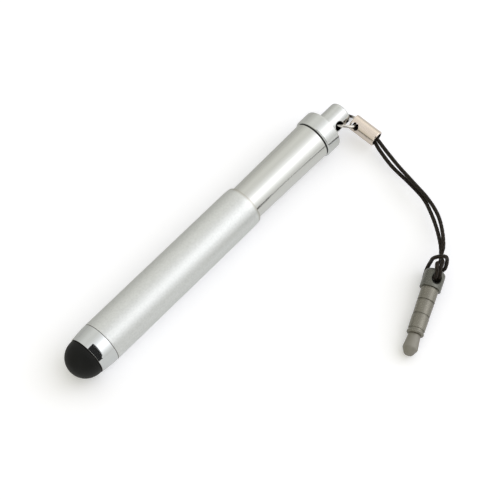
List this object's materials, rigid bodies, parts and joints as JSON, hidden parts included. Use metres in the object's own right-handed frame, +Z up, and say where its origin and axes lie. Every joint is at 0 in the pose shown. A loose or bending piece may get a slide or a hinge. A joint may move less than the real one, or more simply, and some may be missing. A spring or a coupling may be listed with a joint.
{
  "type": "mini stylus",
  "caption": "Telescopic touch-screen pen with a soft dome tip, a friction-held inner tube and a cord strap that ends in a headphone-socket plug.",
  "frame": {"origin": "under the middle of the pen, drawn out, on the surface that it lies on", "axes": "+X along the pen from the dome to the lug, +Z up, so the strap lies on the -Y side"},
  "size_m": [0.0817, 0.0499, 0.009],
  "materials": {
    "silicone": "matte",
    "black_plastic": "matte",
    "chrome_plate": "mirror",
    "satin_aluminium": "bead-blasted and anodised",
    "acetal": "smooth",
    "polished_steel": "polished",
    "polished_aluminium": "polished",
    "steel_wire": "polished",
    "nickel": "polished",
    "melted_cord": "melted",
    "braid": "fine braid",
    "grey_plastic": "moulded"
  },
  "bodies": {
    "outer": {"rubber_tip": "silicone", "tip_core": "black_plastic", "nose_collar": "chrome_plate", "barrel": "satin_aluminium"},
    "bush": {"friction_bush": "acetal"},
    "inner": {"inner_tube": "polished_steel", "tube_end_plug": "black_plastic", "stop_washer": "black_plastic", "end_cap": "polished_aluminium"},
    "ring": {"strap_ring": "steel_wire"},
    "strap": {"cord_ferrule": "nickel", "cord_bead": "melted_cord", "strap_cord": "braid", "jack_plug": "grey_plastic"}
  },
  "joints": [
    {"name": "tube_slide", "type": "slide", "parent": "outer", "child": "bush", "axis": [1, 0, 0], "range_m": [-0.0206, 0]},
    {"name": "tube_turn", "type": "hinge", "parent": "bush", "child": "inner", "pos_m": [0.00645, 0, 0.0045], "axis": [1, 0, 0], "continuous": true},
    {"name": "ring_swing", "type": "hinge", "parent": "inner", "child": "ring", "pos_m": [0.036, 0, 0.0045], "axis": [0, -0.9272, 0.3746], "range_deg": [-30, 100]},
    {"name": "strap_swing", "type": "hinge", "parent": "ring", "child": "strap", "pos_m": [0.03977, -0.00415, 0.00349], "axis": [-0.7931, -0.0899, 0.6025], "range_deg": [-30, 10]}
  ]
}
